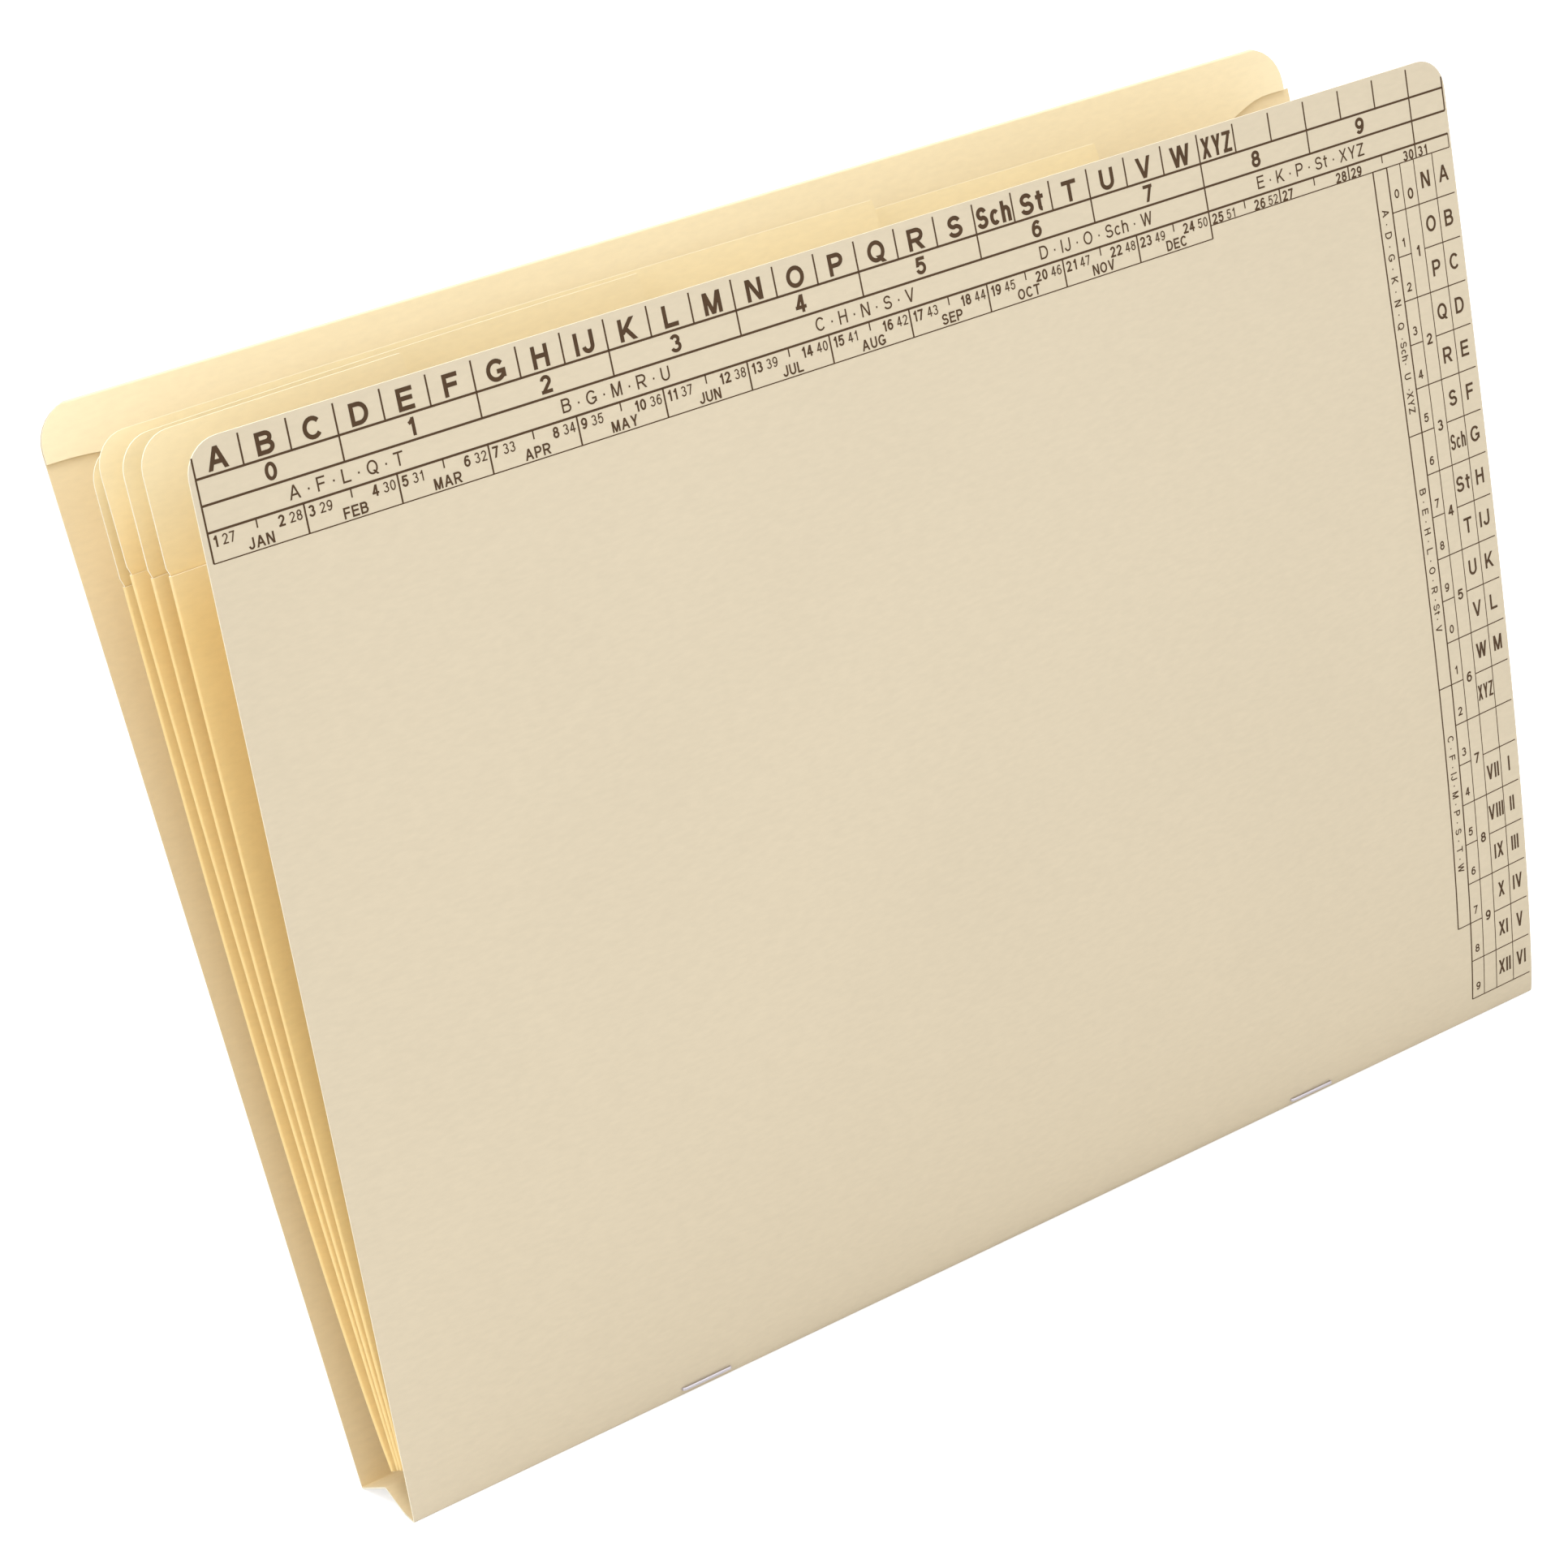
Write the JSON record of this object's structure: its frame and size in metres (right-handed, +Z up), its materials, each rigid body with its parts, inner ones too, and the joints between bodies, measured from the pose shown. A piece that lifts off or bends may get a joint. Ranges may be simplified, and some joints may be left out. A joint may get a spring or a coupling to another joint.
{
  "type": "expanding file folder",
  "caption": "Manila card file folder standing open at the top: a folded cover with a base gusset and tabbed divider pockets stapled at the front fold.",
  "frame": {"origin": "middle of the base, on the plane that the two lower folds stand on", "axes": "+Z up towards the open mouth, +X along the folds to the right seen from the printed front, -Y towards the printed front"},
  "size_m": [0.35, 0.0815, 0.2536],
  "materials": {
    "cover_card": "matte",
    "divider_card": "matte",
    "staple_wire": "bright"
  },
  "bodies": {
    "root": {"outer_cover": "cover_card", "divider_1": "divider_card", "divider_2": "divider_card", "divider_3": "divider_card", "divider_4": "divider_card", "staple_1": "staple_wire", "staple_2": "staple_wire"}
  },
  "joints": []
}
